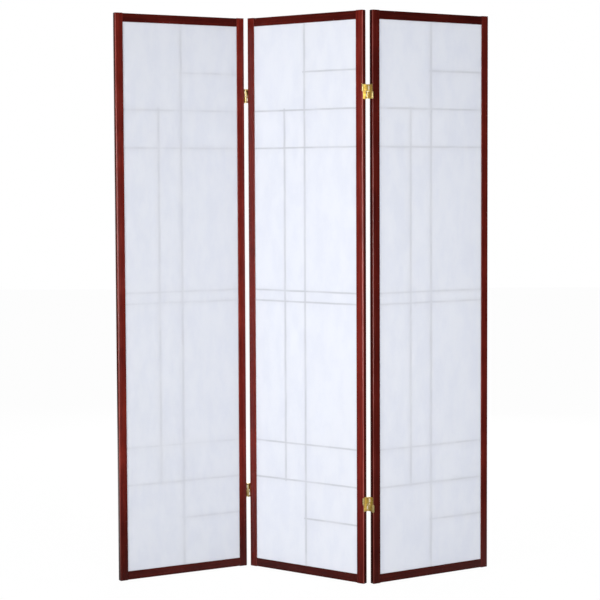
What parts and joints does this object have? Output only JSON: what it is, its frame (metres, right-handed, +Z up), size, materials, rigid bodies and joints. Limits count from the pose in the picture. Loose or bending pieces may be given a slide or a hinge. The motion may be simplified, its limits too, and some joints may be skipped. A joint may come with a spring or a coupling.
{
  "type": "folding screen",
  "caption": "Free-standing folding screen: slim dark wooden frames hold paper on a lattice of thin strips, joined by double-acting brass screen hinges.",
  "frame": {"origin": "middle of the footprint's box, on the floor, with the screen standing in the zigzag of the picture", "axes": "+X to the right along the row of panels as seen from the papered front, +Y from the front to the lattice side, +Z up"},
  "size_m": [1.184, 0.29, 1.785],
  "materials": {
    "lacquered_frame": "satin lacquer over dark cherry stained hardwood",
    "lacquered_lattice": "satin lacquer over dark cherry stained hardwood strips",
    "bare_hardwood": "unfinished",
    "paper": "matt, translucent, with fine fibres",
    "brass_hinges": "satin brass plate",
    "brass_pins_and_screws": "satin brass plate"
  },
  "bodies": {
    "middle_panel": {"middle_panel_left_stile": "lacquered_frame", "middle_panel_right_stile": "lacquered_frame", "middle_panel_top_rail": "lacquered_frame", "middle_panel_bottom_rail": "lacquered_frame", "middle_panel_dowels": "bare_hardwood", "middle_panel_paper": "paper", "middle_panel_lattice_border": "lacquered_lattice", "middle_panel_centre_upright": "lacquered_lattice", "middle_panel_side_upright": "lacquered_lattice", "middle_panel_full_bars": "lacquered_lattice", "middle_panel_short_bars": "lacquered_lattice", "left_joint_lower_hinge_right_leaf": "brass_hinges", "left_joint_lower_hinge_top_strap": "brass_hinges", "left_joint_upper_hinge_right_leaf": "brass_hinges", "left_joint_upper_hinge_top_strap": "brass_hinges", "left_joint_top_pins": "brass_pins_and_screws", "left_joint_right_screws": "brass_pins_and_screws", "right_joint_lower_hinge_left_leaf": "brass_hinges", "right_joint_lower_hinge_top_strap": "brass_hinges", "right_joint_upper_hinge_left_leaf": "brass_hinges", "right_joint_upper_hinge_top_strap": "brass_hinges", "right_joint_top_pins": "brass_pins_and_screws", "right_joint_left_screws": "brass_pins_and_screws"},
    "left_panel": {"left_panel_left_stile": "lacquered_frame", "left_panel_right_stile": "lacquered_frame", "left_panel_top_rail": "lacquered_frame", "left_panel_bottom_rail": "lacquered_frame", "left_panel_dowels": "bare_hardwood", "left_panel_paper": "paper", "left_panel_lattice_border": "lacquered_lattice", "left_panel_centre_upright": "lacquered_lattice", "left_panel_side_upright": "lacquered_lattice", "left_panel_full_bars": "lacquered_lattice", "left_panel_short_bars": "lacquered_lattice", "left_joint_lower_hinge_left_leaf": "brass_hinges", "left_joint_lower_hinge_bottom_strap": "brass_hinges", "left_joint_upper_hinge_left_leaf": "brass_hinges", "left_joint_upper_hinge_bottom_strap": "brass_hinges", "left_joint_bottom_pins": "brass_pins_and_screws", "left_joint_left_screws": "brass_pins_and_screws"},
    "right_panel": {"right_panel_left_stile": "lacquered_frame", "right_panel_right_stile": "lacquered_frame", "right_panel_top_rail": "lacquered_frame", "right_panel_bottom_rail": "lacquered_frame", "right_panel_dowels": "bare_hardwood", "right_panel_paper": "paper", "right_panel_lattice_border": "lacquered_lattice", "right_panel_centre_upright": "lacquered_lattice", "right_panel_side_upright": "lacquered_lattice", "right_panel_full_bars": "lacquered_lattice", "right_panel_short_bars": "lacquered_lattice", "right_joint_lower_hinge_right_leaf": "brass_hinges", "right_joint_lower_hinge_bottom_strap": "brass_hinges", "right_joint_upper_hinge_right_leaf": "brass_hinges", "right_joint_upper_hinge_bottom_strap": "brass_hinges", "right_joint_bottom_pins": "brass_pins_and_screws", "right_joint_right_screws": "brass_pins_and_screws"}
  },
  "joints": [
    {"name": "left_fold", "type": "hinge", "parent": "middle_panel", "child": "left_panel", "pos_m": [-0.18719, 0.11793, 0.8925], "axis": [0, 0, 1], "range_deg": [-63, 117]},
    {"name": "right_fold", "type": "hinge", "parent": "middle_panel", "child": "right_panel", "pos_m": [0.19774, -0.11863, 0.8925], "axis": [0, 0, 1], "range_deg": [-66, 114]}
  ]
}
